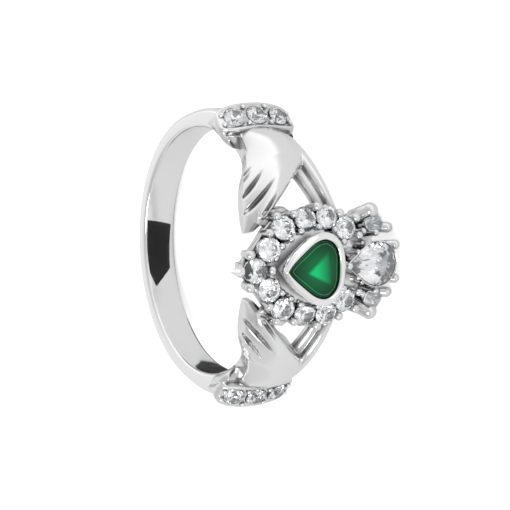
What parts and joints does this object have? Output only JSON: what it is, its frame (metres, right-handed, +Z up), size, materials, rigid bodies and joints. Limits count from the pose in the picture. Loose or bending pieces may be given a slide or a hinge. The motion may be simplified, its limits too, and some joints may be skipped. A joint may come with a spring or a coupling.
{
  "type": "claddagh ring",
  "caption": "Finger ring with two hands holding a crowned heart: bezel-set green heart stone in a halo of round stones, drop stone crown, stone-set cuffs and a plain band.",
  "frame": {"origin": "centre of the ring's box, on the surface that it lies on", "axes": "+X from the lower hand to the upper hand, +Y from the head to the back of the band, +Z up; the ring lies on its side, so the finger's way leans 18.2 degrees from +Z towards +Y"},
  "size_m": [0.021, 0.0232, 0.0124],
  "materials": {
    "silver": "mirror polished",
    "clear_stone": "cut and polished",
    "green_stone": "cut and polished"
  },
  "bodies": {
    "root": {"silver_ring": "silver", "heart_stone": "green_stone", "crown_drop_stone": "clear_stone", "crown_left_stone": "clear_stone", "crown_right_stone": "clear_stone", "halo_point_stone": "clear_stone", "halo_left_stone_1": "clear_stone", "halo_left_stone_2": "clear_stone", "halo_left_stone_3": "clear_stone", "halo_left_stone_4": "clear_stone", "halo_left_stone_5": "clear_stone", "halo_right_stone_1": "clear_stone", "halo_right_stone_2": "clear_stone", "halo_right_stone_3": "clear_stone", "halo_right_stone_4": "clear_stone", "halo_right_stone_5": "clear_stone", "cuff_left_stone_1": "clear_stone", "cuff_left_stone_2": "clear_stone", "cuff_left_stone_3": "clear_stone", "cuff_right_stone_1": "clear_stone", "cuff_right_stone_2": "clear_stone", "cuff_right_stone_3": "clear_stone"}
  },
  "joints": []
}
